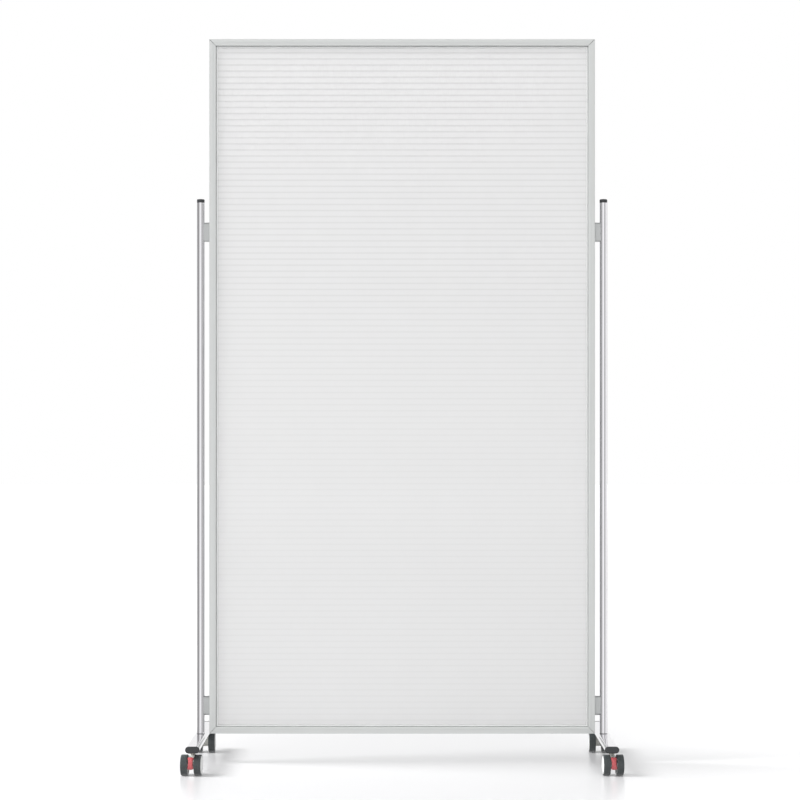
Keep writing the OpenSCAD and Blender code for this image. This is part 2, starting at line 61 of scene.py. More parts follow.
MM = 0.001
JOINTS = {joint["name"]: joint for joint in frame["joints"]}
SIDES = ("left", "right")
CORNERS = ("front_left", "front_right", "rear_left", "rear_right")
WHEEL_PLACES = ("outer", "inner")


# ---------------------------------------------------------------- settings

def linear(code):
    """Turns an sRGB hex colour such as #D3D5D4 into linear red, green, blue."""
    parts = [int(code[i:i + 2], 16) / 255 for i in (1, 3, 5)]
    return tuple(p / 12.92 if p <= 0.04045 else ((p + 0.055) / 1.055) ** 2.4 for p in parts)


def colour(name, description, code):
    """A colour property whose default is a hex code."""
    return bpy.props.FloatVectorProperty(
        name=name, description=description, default=linear(code), subtype="COLOR",
        size=3, min=0.0, max=1.0)


def length(name, description, millimetres):
    """A length property with its default in millimetres, kept in metres."""
    return bpy.props.FloatProperty(
        name=name, description=description, default=millimetres * MM, unit="LENGTH",
        subtype="DISTANCE", precision=5)


class PartitionSizes(bpy.types.PropertyGroup):
    """Sizes of the finish that the construction leaves open."""
    rail_edge: length("Rail edge", "Radius of the rails' outer edges", 1.0)
    rail_back: length("Rail stand-back", "How far a rail's outer face lies below its screws' heads", 0.25)
    screw_head: length("Screw head", "Radius of a cleat screw's countersunk head", 3.5)
    screw_shaft: length("Screw shaft", "Radius of a cleat screw's shaft", 2.0)
    screw_reach: length("Screw reach", "Length of a cleat screw with its head", 7.9)
    screw_place: length("Screw place", "Distance from the panel's corner to a cleat screw", 28.0)
    screw_socket: length("Screw socket", "Distance across the flats of a screw's hexagon socket", 2.5)
    mitre_open: length("Mitre opening", "How far each sawn end stands back from the construction's", 0.15)
    mitre_ease: length("Mitre easing", "Small chamfer along the sawn ends of a rail", 0.5)
    rail_groove: length("Groove from edge", "Distance from a rail's outer edge to its groove", 10.5)
    rail_channel: length("Channel floor", "Distance from a rail's outer edge to its channel's floor", 9.8)
    channel_play: length("Channel play", "Gap between the sheet's face and the channel's side", 2.5)
    gasket_width: length("Gasket width", "Width of a gasket from its groove to its bead", 12.2)
    gasket_show: length("Gasket show", "Width of a gasket that shows past the rail", 4.5)
    gasket_groove: length("Gasket groove", "Width of the shadow groove between rail and bead", 1.4)
    gasket_bead: length("Gasket bead", "Thickness of the rounded bead on a gasket's inner edge", 0.8)
    skin: length("Skin thickness", "Thickness of the sheet's outer skins", 0.9)
    rib_pitch: length("Rib pitch", "Distance from one rib of the sheet to the next", 15.73)
    first_rib: length("First rib", "Distance from the sheet's top edge to its first rib", 8.8)
    wheel_inner: length("Wheel inner side", "From a castor's middle to a wheel's inner side", 8.0)
    wheel_outer: length("Wheel outer side", "From a castor's middle to a wheel's outer side", 25.5)
    tyre_height: length("Tyre height", "Height of a tyre's section over the wheel's rim", 3.5)
    lever_eye: length("Lever eye", "Width of a brake lever's eye along its pin", 4.9)
    tread_line: length("Tread groove", "Depth of the two fine grooves in a tyre's tread", 0.35)


class PartitionFinish(bpy.types.PropertyGroup):
    """Colours of the partition's finishes."""
    rail: colour("Rails", "Natural anodised aluminium", "#D3D5D4")
    sheet: colour("Sheet", "Opal multi-wall sheet", "#FBFBFB")
    gasket: colour("Gaskets", "Grey glazing gasket", "#ECEEED")
    chrome: colour("Chrome", "Bright chrome plate", "#E4E3E6")
    bracket: colour("Brackets", "Silver-grey powder coat", "#BCBEBE")
    black: colour("Caps", "Black moulded caps", "#343638")
    tyre: colour("Tyres", "Dark soft tread", "#434849")
    wheel: colour("Wheels", "Light grey polyamide", "#E2E3E2")
    body: colour("Castor bodies", "Warm light grey polyamide", "#D2D2CC")
    brake: colour("Brake levers", "Red moulded levers", "#BF595D")
    steel: colour("Fixings", "Bright zinc-plated steel", "#B6B8BA")
    zinc: colour("Castings", "Die-cast zinc", "#8F9193")


def sizes():
    """The sizes set in the scene, in metres."""
    return bpy.context.scene.partition_sizes


def finish():
    """The colours set in the scene, linear."""
    return bpy.context.scene.partition_finish


# ---------------------------------------------------------------- materials

def node(tree, kind, sockets=(), **settings):
    """Adds one shader node with its settings; a socket is given a value, or the output linked to it."""
    made = tree.nodes.new(kind)
    for key, value in settings.items():
        setattr(made, key, value)
    for socket, value in dict(sockets).items():
        if isinstance(value, bpy.types.NodeSocket):
            tree.links.new(value, made.inputs[socket])
        else:
            made.inputs[socket].default_value = value
    return made


def shader(name, base, **sockets):
    """A new material whose Principled shader has its constants on its own sockets."""
    material = bpy.data.materials.new(name)
    material.use_nodes = True
    tree = material.node_tree
    tree.nodes.clear()
    values = {key.replace("_", " "): value for key, value in sockets.items()}
    principled = node(tree, "ShaderNodeBsdfPrincipled", {"Base Color": (*base, 1.0), **values})
    node(tree, "ShaderNodeOutputMaterial", {"Surface": principled.outputs["BSDF"]})
    return material, tree, principled


def worked(tree, principled, base, grain, dark, rough, relief=0.0, detail=2.0):
    """One noise pattern, its grain in millimetres along x, y and z, marks a finish all over.

    It takes the base colour down to dark times itself, moves the roughness between the two values
    of rough and raises the surface by up to relief millimetres.
    """
    where = node(tree, "ShaderNodeTexCoord")
    stretched = node(tree, "ShaderNodeMapping", {
        "Vector": where.outputs["Object"], "Scale": [1 / (size * MM) for size in grain]})
    pattern = node(tree, "ShaderNodeTexNoise", {
        "Vector": stretched.outputs["Vector"], "Scale": 1.0, "Detail": detail}).outputs["Fac"]
    even = node(tree, "ShaderNodeMapRange", {"Value": pattern, "From Min": 0.3, "From Max": 0.7})
    tone = node(tree, "ShaderNodeMix", {
        0: even.outputs["Result"], 6: (*base, 1.0), 7: (*[c * dark for c in base], 1.0)},
        data_type="RGBA")
    gloss = node(tree, "ShaderNodeMapRange", {
        "Value": pattern, "From Min": 0.3, "From Max": 0.7, "To Min": rough[0], "To Max": rough[1]})
    tree.links.new(tone.outputs[2], principled.inputs["Base Color"])
    tree.links.new(gloss.outputs["Result"], principled.inputs["Roughness"])
    if relief:
        bump = node(tree, "ShaderNodeBump", {
            "Height": pattern, "Strength": 0.2, "Distance": relief * MM})
        tree.links.new(bump.outputs["Normal"], principled.inputs["Normal"])


def anodised_aluminium(base, along):
    """Extruded aluminium, etched and anodised: even satin grey with faint die lines along the bar."""
    material, tree, principled = shader(
        "satin_anodised_aluminium_" + "xyz"[along], base, Metallic=0.55, Anisotropic=0.3)
    grain = [1.1, 1.1, 1.1]  # die lines about a millimetre apart
    grain[along] = 650.0
    worked(tree, principled, base, grain, 0.965, (0.36, 0.48), 0.04)
    return material


def opal_polycarbonate(base):
    """Opal extruded multi-wall polycarbonate: satin skins and ribs; the ribs stand darker behind the skins
    by painted shade, with painted light on their upper sides.
    """
    material, tree, principled = shader("opal_polycarbonate", base, IOR=1.58)
    # Draw lines from the die run along the ribs, some 6 mm apart.
    worked(tree, principled, base, (1600.0, 1000.0, 6.2), 1.0, (0.28, 0.38))
    where = node(tree, "ShaderNodeTexCoord")
    split = node(tree, "ShaderNodeSeparateXYZ", {"Vector": where.outputs["Object"]})
    facing = node(tree, "ShaderNodeSeparateXYZ", {"Vector": where.outputs["Normal"]})
    sheet_top, half_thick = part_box("infill_sheet")[1][2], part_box("infill_sheet")[1][1]
    # What lies deeper in the sheet than a skin is thick is a rib's wall.
    depth = node(tree, "ShaderNodeMath", {0: split.outputs["Y"]}, operation="ABSOLUTE")
    wall = node(tree, "ShaderNodeMath", {
        0: depth.outputs[0], 1: half_thick - sizes().skin - 0.05 * MM}, operation="LESS_THAN")
    # Distance from a rib's middle in pitches: 0 at each rib, 0.5 halfway between two. A painted shade line
    # lies along each rib's foot, darkest for 0.6 mm on each side and fading over the next 2 mm.
    pitch, first, dark_half, fade = sizes().rib_pitch, sheet_top - sizes().first_rib, 0.6 * MM, 2.0 * MM
    count = node(tree, "ShaderNodeMath", {
        0: split.outputs["Z"], 1: 1 / pitch, 2: -first / pitch}, operation="MULTIPLY_ADD")
    off = node(tree, "ShaderNodeMath", {0: count.outputs[0], 1: 0.5}, operation="PINGPONG")
    rib_foot_painted_shade = node(tree, "ShaderNodeMapRange", {
        "Value": off.outputs[0], "From Min": dark_half / pitch, "From Max": (dark_half + fade) / pitch,
        "To Min": 1.0, "To Max": 0.0}).outputs["Result"]
    # Painted shade: the lines along the ribs' feet are drawn darker in the sheet's upper half, which is
    # seen from below.
    upper = node(tree, "ShaderNodeMapRange", {
        "Value": split.outputs["Z"], "From Min": 0.75, "From Max": 1.75,
        "To Min": 0.06, "To Max": 0.145}).outputs["Result"]
    # Painted shade on a rib's underside and painted light on its upper side; square on it is a fine line.
    under = node(tree, "ShaderNodeMapRange", {
        "Value": facing.outputs["Z"], "From Min": -0.5, "From Max": 0.5,
        "To Min": 1.0, "To Max": 0.0}).outputs["Result"]
    skin_painted_shade, wall_painted_shade, wall_cover = (
        node(tree, "ShaderNodeMapRange", {"Value": pattern, "To Min": low, "To Max": high})
        for pattern, low, high in ((rib_foot_painted_shade, 0.0, upper), (under, 0.2, 1.0), (under, 0.25, 0.95)))
    # The skins let half of the light through, a rib's underside hardly any and its upper side most.
    dark = node(tree, "ShaderNodeMix", {
        0: wall.outputs[0], 2: skin_painted_shade.outputs[0], 3: wall_painted_shade.outputs[0]})
    cover = node(tree, "ShaderNodeMix", {
        0: wall.outputs[0], 2: 0.5, 3: wall_cover.outputs[0]})
    # Painted shade: the colour falls towards 0.3 of the base as far as dark says.
    tone = node(tree, "ShaderNodeMix", {
        0: dark.outputs[0], 6: (*base, 1.0), 7: (*[c * 0.3 for c in base], 1.0)}, data_type="RGBA")
    tree.links.new(tone.outputs[2], principled.inputs["Base Color"])
    tree.links.new(cover.outputs[0], principled.inputs["Alpha"])
    return material


def glazing_rubber(base):
    """Glazing gasket: matt grey bead with a slight bloom in patches, and painted shade in its groove and
    along the bead's foot.
    """
    material, tree, principled = shader("grey_glazing_rubber", base, IOR=1.5)
    worked(tree, principled, base, (16.0, 16.0, 16.0), 0.94, (0.64, 0.76), detail=4.0)
    bloom = principled.inputs["Base Color"].links[0].from_socket
    where = node(tree, "ShaderNodeTexCoord")
    split = node(tree, "ShaderNodeSeparateXYZ", {"Vector": where.outputs["Object"]})
    depth = node(tree, "ShaderNodeMath", {0: split.outputs["Y"]}, operation="ABSOLUTE")
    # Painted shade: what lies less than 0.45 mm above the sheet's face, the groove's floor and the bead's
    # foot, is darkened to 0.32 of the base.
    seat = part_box("infill_sheet")[1][1] + 0.45 * MM
    low = node(tree, "ShaderNodeMath", {0: depth.outputs[0], 1: seat}, operation="LESS_THAN")
    tone = node(tree, "ShaderNodeMix", {
        0: low.outputs[0], 6: bloom, 7: (*[c * 0.32 for c in base], 1.0)}, data_type="RGBA")
    tree.links.new(tone.outputs[2], principled.inputs["Base Color"])
    return material


def chrome_plate(base):
    """Bright chrome on drawn steel tube: mirror finish with the tube's faint waviness and wipe marks."""
    material, tree, principled = shader("bright_chrome_plate", base, Metallic=1.0)
    worked(tree, principled, base, (3.9, 3.9, 50.0), 0.97, (0.06, 0.12), detail=3.0)
    return material


def powder_coat(base):
    """Silver-grey powder coat on a casting: satin with a fine orange peel a millimetre across."""
    material, tree, principled = shader("silver_grey_powder_coat", base, Metallic=0.6)
    worked(tree, principled, base, (1.1, 1.1, 1.1), 0.95, (0.33, 0.4), 0.05)
    return material


def moulded_plastic(name, base, rough, grain):
    """Injection-moulded plastic: fine eroded grain that breaks up its sheen."""
    material, tree, principled = shader(name, base, IOR=1.5)
    worked(tree, principled, base, (grain,) * 3, 0.93, (rough - 0.05, rough + 0.08), 0.05, 3.0)
    return material


def tread_rubber(base):
    """Soft polyurethane tread: dark grey, dulled by dust and scuffs a few millimetres across."""
    material, tree, principled = shader("soft_polyurethane_tread", base, IOR=1.5)
    worked(tree, principled, base, (4.5, 4.5, 4.5), 0.8, (0.34, 0.52), 0.12, 5.0)
    return material


def plated_steel(name, base, rough):
    """Zinc-plated or cast metal: even crystalline sheen."""
    material, tree, principled = shader(name, base, Metallic=1.0)
    worked(tree, principled, base, (1.4, 1.4, 1.4), 0.9, (rough - 0.06, rough + 0.1))
    return material


MATERIALS = {}


def make_materials():
    """Fills MATERIALS with every finish of the partition, by the short name its pieces use."""
    tones = finish()
    MATERIALS.update({
        "rail_x": anodised_aluminium(tuple(tones.rail), 0),
        "rail_z": anodised_aluminium(tuple(tones.rail), 2),
        "sheet": opal_polycarbonate(tuple(tones.sheet)),
        "gasket": glazing_rubber(tuple(tones.gasket)),
        "chrome": chrome_plate(tuple(tones.chrome)),
        "bracket": powder_coat(tuple(tones.bracket)),
        "black": moulded_plastic("black_moulded_polypropylene", tuple(tones.black), 0.42, 0.7),
        "tyre": tread_rubber(tuple(tones.tyre)),
        "wheel": moulded_plastic("light_grey_polyamide", tuple(tones.wheel), 0.38, 0.8),
        "body": moulded_plastic("warm_grey_polyamide", tuple(tones.body), 0.4, 0.8),
        "brake": moulded_plastic("red_moulded_abs", tuple(tones.brake), 0.3, 0.7),
        "steel": plated_steel("zinc_plated_steel", tuple(tones.steel), 0.3),
        "zinc": plated_steel("die_cast_zinc", tuple(tones.zinc), 0.48),
    })


# ---------------------------------------------------------------- surfaces

def as_object(name, points, faces, outward=True, sharp_deg=32.0):
    """A mesh object from points and faces, smooth shaded but for edges sharper than the angle."""
    mesh = bpy.data.meshes.new(name)
    mesh.from_pydata([tuple(p) for p in points], [], [tuple(f) for f in faces])
    if outward:
        work = bmesh.new()
        work.from_mesh(mesh)
        bmesh.ops.remove_doubles(work, verts=work.verts, dist=1e-7)
        bmesh.ops.recalc_face_normals(work, faces=work.faces)
        work.to_mesh(mesh)
        work.free()
    mesh.polygons.foreach_set("use_smooth", np.ones(len(mesh.polygons), dtype=bool))
    mesh.set_sharp_from_angle(angle=math.radians(sharp_deg))
    made = bpy.data.objects.new(name, mesh)
    bpy.context.collection.objects.link(made)
    return made


def rings(grid, loop_u, caps):
    """Points and faces of grid[u, v]: closed along v, and along u if loop_u, or else capped if asked."""
    count_u, count_v = grid.shape[:2]
    u = np.arange(count_u if loop_u else count_u - 1)
    v = np.arange(count_v)
    uu, vv = np.meshgrid(u, v, indexing="ij")
    next_u, next_v = (uu + 1) % count_u, (vv + 1) % count_v
    quads = np.stack(
        [uu * count_v + vv, next_u * count_v + vv, next_u * count_v + next_v, uu * count_v + next_v],
        axis=-1).reshape(-1, 4)
    faces = quads.tolist()
    if caps:
        faces.append(list(range(count_v))[::-1])
        faces.append([(count_u - 1) * count_v + i for i in range(count_v)])
    return grid.reshape(-1, 3), faces


def joined(parts):
    """Several (points, faces) shells as one."""
    points, faces, offset = [], [], 0
    for part_points, part_faces in parts:
        points.append(part_points)
        faces += [[i + offset for i in face] for face in part_faces]
        offset += len(part_points)
    return np.concatenate(points), faces


def placed(points, origin, x_axis, z_axis=(0.0, 0.0, 1.0)):
    """Local points moved to an origin, with local x and z along the given directions."""
    x = np.array(x_axis, float) / np.linalg.norm(x_axis)
    z = np.array(z_axis, float) / np.linalg.norm(z_axis)
    y = np.cross(z, x)
    return np.array(origin, float) + points @ np.stack([x, y, z])


def arc(centre, radius, start, end, steps):
    """Points on a circular arc, angles in degrees."""
    a = np.radians(np.linspace(start, end, steps))
    return np.stack([centre[0] + radius * np.cos(a), centre[1] + radius * np.sin(a)], axis=1)


def rounded(wave, power):
    """A sine or cosine raised to a power with its sign kept, as a superellipse needs."""
    return np.sign(wave) * np.abs(wave) ** power


def revolved(profile, steps=96):
    """Surface of revolution about local x: profile rows are (x, radius) and form a closed loop."""
    a = np.linspace(0.0, 2 * math.pi, steps, endpoint=False)[:, None]
    x = np.broadcast_to(profile[:, 0], (steps, len(profile)))
    radius = profile[:, 1]
    return rings(np.stack([x, radius * np.cos(a), radius * np.sin(a)], axis=-1), True, False)


def revolved_open(profile, steps=96):
    """Surface of revolution about local x of a profile that starts and ends on the axis."""
    a = np.linspace(0.0, 2 * math.pi, steps, endpoint=False)
    radius = np.maximum(profile[:, 1], 1e-6)[:, None]
    x = np.broadcast_to(profile[:, 0][:, None], (len(profile), steps))
    return rings(np.stack([x, radius * np.cos(a), radius * np.sin(a)], axis=-1), False, True)


def stadium(width, height, inset=0.0, steps=24):
    """Flat-oval outline: two half circles joined by straight sides, moved inwards by the inset."""
    radius, flat = height / 2 - inset, (width - height) / 2
    right = arc((flat, 0.0), radius, -90, 90, steps)
    left = arc((-flat, 0.0), radius, 90, 270, steps)
    return np.concatenate([right, left])


def extruded(stations, outline_at, axis):
    """Rings of outline_at(station) set at each station's position along an axis, with end caps."""
    others = [i for i in range(3) if i != axis]
    rows = []
    for position, inset in stations:
        outline = outline_at(inset)
        ring = np.empty((len(outline), 3))
        ring[:, axis] = position
        ring[:, others[0]], ring[:, others[1]] = outline[:, 0], outline[:, 1]
        rows.append(ring)
    return rings(np.array(rows), False, True)


def fit_out(made, material, body, *nodes):
    """Gives a piece its material, makes it ride on its body and stand for its nodes."""
    made.data.materials.clear()
    made.data.materials.append(MATERIALS[material])
    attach(made, body)
    if nodes:
        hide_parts(*nodes)
    return made


def dressed(name, material):
    """A CAD node kept as it is, with a finish of its own."""
    node_object = frame["nodes"][name]
    node_object.data.materials.clear()
    node_object.data.materials.append(MATERIALS[material])


def softened(name, material, body, bevel=0.0, segments=2):
    """A merged copy of a CAD node with smooth curves and its sharp edges eased by a bevel."""
    sharp, flat = math.radians(35), math.radians(0.8)
    mesh = frame["nodes"][name].data.copy()
    work = bmesh.new()
    work.from_mesh(mesh)
    bmesh.ops.remove_doubles(work, verts=work.verts, dist=1e-6)
    bmesh.ops.dissolve_limit(work, angle_limit=flat, verts=work.verts, edges=work.edges)
    work.to_mesh(mesh)
    work.free()
    mesh.polygons.foreach_set("use_smooth", np.ones(len(mesh.polygons), dtype=bool))
    mesh.set_sharp_from_angle(angle=sharp)
    made = bpy.data.objects.new(name + "_finished", mesh)
    bpy.context.collection.objects.link(made)
    if bevel:
        ease = made.modifiers.new("eased_edges", "BEVEL")
        ease.width, ease.segments = bevel, segments
        ease.limit_method, ease.angle_limit = "ANGLE", sharp
    return fit_out(made, material, body, name)


def corners_of(*names):
    """Each node's box as two arrays, its lowest and its highest corner."""
    return [np.array(corner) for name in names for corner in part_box(name)]


# ---------------------------------------------------------------- operators

class PartitionOperator(bpy.types.Operator):
    """What all the partition's operators share"""
    bl_options = {"REGISTER", "UNDO"}


class PARTITION_OT_rails(PartitionOperator):
    """Four extruded rails, mitred at the corners, with rounded outer edges and one fine groove"""
    bl_idname = "partition.rails"
    bl_label = "Frame rails"

    def section(self, half_depth, face):
        """Closed outline: x from the outer edge inwards, y across the depth, arcs at the four edges.

        One half of the depth is drawn, with its groove and its lip down to the channel, and mirrored.
        """
        edge, groove, back_off = sizes().rail_edge, sizes().rail_groove, sizes().rail_back
        wide, narrow, deep, lip = 0.4 * MM, 0.2 * MM, 0.4 * MM, 0.4 * MM
        channel_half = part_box("infill_sheet")[1][1] + sizes().channel_play
        upper = np.concatenate([
            arc((back_off + edge, half_depth - edge), edge, 180, 90, 12),
            [(groove - wide, half_depth), (groove - narrow, half_depth - deep)],
            [(groove + narrow, half_depth - deep), (groove + wide, half_depth)],
            arc((face - lip, half_depth - lip), lip, 90, 0, 4),
            [(face, channel_half), (sizes().rail_channel, channel_half)],
        ])
        return np.concatenate([upper, upper[::-1] * (1, -1)])

    def rail(self, name, along):
        """The section carried along the rail, each point ended where the mitre's plane meets it."""
        low, high = corners_of(name)
        across = 2 - along
        inward = 1.0 if name in ("left_rail", "bottom_rail") else -1.0
        edge = low[across] if inward > 0 else high[across]
        outline = self.section(high[1], high[across] - low[across])
        middle, half = (low[along] + high[along]) / 2, (high[along] - low[along]) / 2
        # From each sawn end: the end itself, its chamfer's foot and a ring that keeps the faces flat.
        ease, hold = sizes().mitre_ease, 2 * MM
        back_off = np.array([0.0, ease, ease + hold])[:, None]
        reach = half - sizes().mitre_open - outline[:, 0]
        stops = np.concatenate([back_off - reach, reach - back_off[::-1]])
        pinch = np.array([ease, 0.0, 0.0, 0.0, 0.0, ease])[:, None]
        grid = np.empty((len(stops), len(outline), 3))
        grid[:, :, along] = middle + stops
        grid[:, :, across] = edge + inward * outline[:, 0]
        grid[:, :, 1] = outline[:, 1] - pinch * np.sign(outline[:, 1])
        return rings(grid, False, True)

    def execute(self, context):
        for name, along in (("left_rail", 2), ("right_rail", 2), ("bottom_rail", 0), ("top_rail", 0)):
            made = as_object(name + "_extrusion", *self.rail(name, along))
            fit_out(made, "rail_" + "xyz"[along], "frame", name)
        return {"FINISHED"}


class PARTITION_OT_cleat_screws(PartitionOperator):
    """Countersunk screws that hold the rails to the corner cleats, with a hexagon socket in each head"""
    bl_idname = "partition.cleat_screws"
    bl_label = "Cleat screws"

    def screw(self, steps=48):
        """Turned shell about local x, which points into the rail, from the socket's floor to the tip.

        The socket's radius is the distance to a flat over the cosine of the angle from its middle.
        """
        head, shaft, flat = sizes().screw_head, sizes().screw_shaft, sizes().screw_socket / 2
        tip, floor, ease, centre = sizes().screw_reach, sizes().rail_back - 0.03 * MM, 0.05 * MM, 1e-6
        angle = np.linspace(0, 2 * math.pi, steps, endpoint=False)
        six_sided = 1 / np.cos(angle % (math.pi / 3) - math.pi / 6)
        rows = [(floor, centre, 1), (floor, flat, six_sided), (ease, flat, six_sided)]
        rows += [(0.0, flat * 1.2, 1), (0.0, head - ease, 1), (ease, head, 1)]
        rows += [(head - shaft, shaft, 1), (tip, shaft, 1), (tip, centre, 1)]
        grid = [np.stack([np.full(steps, x), radius * shape * np.cos(angle),
                          radius * shape * np.sin(angle)], axis=-1) for x, radius, shape in rows]
        return rings(np.array(grid), False, True)

    def execute(self, context):
        sides = ((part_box("left_rail")[0][0], 1.0), (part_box("right_rail")[1][0], -1.0))
        levels = ((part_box("bottom_rail")[0][2], 1.0), (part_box("top_rail")[1][2], -1.0))
        points, faces = self.screw()
        along, shells = sizes().screw_place, []
        for x, inward in sides:
            for z, up in levels:
                side = placed(points, (x, 0.0, z + up * along), (inward, 0, 0), (0, 0, 1))
                level = placed(points, (x + inward * along, 0.0, z), (0, 0, up), (1, 0, 0))
                shells += [(side, faces), (level, faces)]
        fit_out(as_object("cleat_screws_turned", *joined(shells)), "steel", "frame", "cleat_screws")
        return {"FINISHED"}


class PARTITION_OT_gaskets(PartitionOperator):
    """Front and rear glazing gaskets: a ring with a groove along the rails and a bead at its inner edge"""
    bl_idname = "partition.gaskets"
    bl_label = "Glazing gaskets"

    def section(self, thick):
        """Outline: x from the outer edge inwards, y off the sheet: a thick foot, a groove and a bead."""
        show, bead, groove = sizes().gasket_width, sizes().gasket_bead, sizes().gasket_groove
        lip, floor, rise = show - sizes().gasket_show, 0.2 * MM, 0.5 * MM
        return np.concatenate([
            [(0.0, 0.0), (0.0, thick), (lip - 0.2 * MM, thick)],
            [(lip + 0.1 * MM, floor), (lip + groove, floor), (lip + groove + rise, bead)],
            arc((show - bead / 2, bead / 2), bead / 2, 80, 0, 8),
            [(show, 0.0)],
        ])

    def execute(self, context):
        for name, face in (("front_gasket", -1.0), ("rear_gasket", 1.0)):
            low, high = corners_of(name)
            mid, half = (low + high) / 2, (high - low) / 2
            section = self.section(high[1] - low[1])
            # One ring of the section stands at each corner, on the corner's bisector.
            turn = np.array([(-1, -1), (1, -1), (1, 1), (-1, 1)], float)
            corner = mid[[0, 2]] + turn * half[[0, 2]]
            grid = np.empty((len(turn), len(section), 3))
            grid[:, :, 0] = corner[:, 0:1] - turn[:, 0:1] * section[:, 0]
            grid[:, :, 2] = corner[:, 1:2] - turn[:, 1:2] * section[:, 0]
            grid[:, :, 1] = (low[1] if face > 0 else high[1]) + face * section[:, 1]
            fit_out(as_object(name + "_strip", *rings(grid, True, False)), "gasket", "frame", name)
        return {"FINISHED"}


class PARTITION_OT_sheet(PartitionOperator):
    """The multi-wall sheet keeps its construction and gets its opal finish"""
    bl_idname = "partition.sheet"
    bl_label = "Infill sheet"

    def execute(self, context):
        dressed("infill_sheet", "sheet")
        return {"FINISHED"}


class PARTITION_OT_uprights(PartitionOperator):
    """Chromed uprights with smooth walls, their domed caps, washers and flush plugs"""
    bl_idname = "partition.uprights"
    bl_label = "Uprights"

    def cap_profile(self, bottom, seat, top, radius):
        """(height, radius) from the plug's foot over the edge on the tube and the dome to the middle."""
        plug, chamfer, dome, crown = radius - 1.6 * MM, 0.3 * MM, 2.2 * MM, 0.6 * MM
        return np.concatenate([
            [(bottom, 0.0), (bottom, plug), (seat, plug)],
            [(seat, radius - chamfer), (seat + chamfer, radius)],
            arc((top - dome - crown, radius - dome), dome, 90, 8, 10),
            [(top - 0.15 * MM, radius * 0.45), (top, 0.0)],
        ])

    def execute(self, context):
        for side in SIDES:
            softened(side + "_upright", "chrome", "frame")
            low, high = corners_of(side + "_upright_cap")
            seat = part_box(side + "_upright")[1][2]
            profile = self.cap_profile(low[2], seat, high[2], (high[0] - low[0]) / 2)
            points, faces = revolved_open(profile)
            middle = (low + high) / 2
            upright = placed(points, (middle[0], middle[1], 0.0), (0, 0, 1), (1, 0, 0))
            fit_out(as_object(side + "_upright_dome", upright, faces), "black", "frame",
                    side + "_upright_cap")
        dressed("upright_washers", "black")
        softened("bolt_hole_plugs", "chrome", "frame")
        return {"FINISHED"}


class PARTITION_OT_brackets(PartitionOperator):
    """Spacers with round ends whose saddles follow the uprights"""
    bl_idname = "partition.brackets"
    bl_label = "Brackets"

    def casting(self, low, high, side):
        """Flat-oval rings from the saddle, where x is the root of radius squared less y squared, to
        the rail, where the edge is rounded by a quarter circle."""
        tube_low, tube_high = corners_of(side + "_upright")
        axis_x, radius = (tube_low[0] + tube_high[0]) / 2, (tube_high[0] - tube_low[0]) / 2
        sign, rail_x = (1.0, high[0]) if side == "left" else (-1.0, low[0])
        height, depth, edge = high[2] - low[2], high[1] - low[1], 0.8 * MM
        end = abs(rail_x - axis_x) + sizes().rail_back
        outline = stadium(height, depth)
        rows = [(np.sqrt(np.maximum(radius ** 2 - outline[:, 1] ** 2, 0.0)), outline)]
        for t in np.linspace(0, math.pi / 2, 5):
            outline = stadium(height, depth, edge * (1 - math.cos(t)))
            rows.append((np.full(len(outline), end - edge * (1 - math.sin(t))), outline))
        grid = [np.stack([axis_x + sign * x, outline[:, 1], (low[2] + high[2]) / 2 + outline[:, 0]],
                         axis=-1) for x, outline in rows]
        return rings(np.array(grid), False, True)

    def execute(self, context):
        for level in ("lower", "upper"):
            for side in SIDES:
                name = level + "_" + side + "_bracket"
                made = as_object(name + "_casting", *self.casting(*corners_of(name), side))
                fit_out(made, "bracket", "frame", name)
        return {"FINISHED"}


class PARTITION_OT_feet(PartitionOperator):
    """Flat-oval chromed feet with their rounded black end caps"""
    bl_idname = "partition.feet"
    bl_label = "Feet"

    def cap(self, low, high, seat, out):
        """Flat-oval rings along y: a plug inside the tube, a chamfered step on it, a rounded end."""
        inner, tip = (low[1], high[1]) if out > 0 else (high[1], low[1])
        width, height = high[0] - low[0], high[2] - low[2]
        edge, plug, lead, chamfer, crown = 2.6 * MM, 2.4 * MM, 0.6 * MM, 0.25 * MM, 0.3 * MM
        stations = [(inner, plug + lead), (inner + out * lead, plug), (seat, plug)]
        stations += [(seat, chamfer), (seat + out * chamfer, 0.0)]
        stations += [(tip - out * (edge * (1 - math.sin(t)) + crown), edge * (1 - math.cos(t)))
                     for t in np.linspace(0, math.pi / 2, 8)]
        stations += [(tip, height * 0.34)]
        points, faces = extruded(stations, lambda inset: stadium(width, height, inset), 1)
        centre = (low + high) / 2
        return points + (centre[0], 0.0, centre[2]), faces

    def execute(self, context):
        for side in SIDES:
            softened(side + "_foot", "chrome", "frame")
        for corner in CORNERS:
            end, side = corner.split("_")
            foot_low, foot_high = corners_of(side + "_foot")
            out, seat = (1.0, foot_high[1]) if end == "rear" else (-1.0, foot_low[1])
            name = corner + "_foot_cap"
            made = as_object(name + "_moulding", *self.cap(*corners_of(name), seat, out))
            fit_out(made, "black", "frame", name)
        return {"FINISHED"}


class PARTITION_OT_castor_bodies(PartitionOperator):
    """Castor bodies between the wheels, with eased edges, their stems and axles"""
    bl_idname = "partition.castor_bodies"
    bl_label = "Castor bodies"

    def execute(self, context):
        for corner in CORNERS:
            softened(corner + "_castor_body", "body", corner + "_castor", bevel=0.5 * MM, segments=3)
            dressed(corner + "_axle", "steel")
        softened("castor_stems", "steel", "frame", bevel=0.2 * MM)
        return {"FINISHED"}


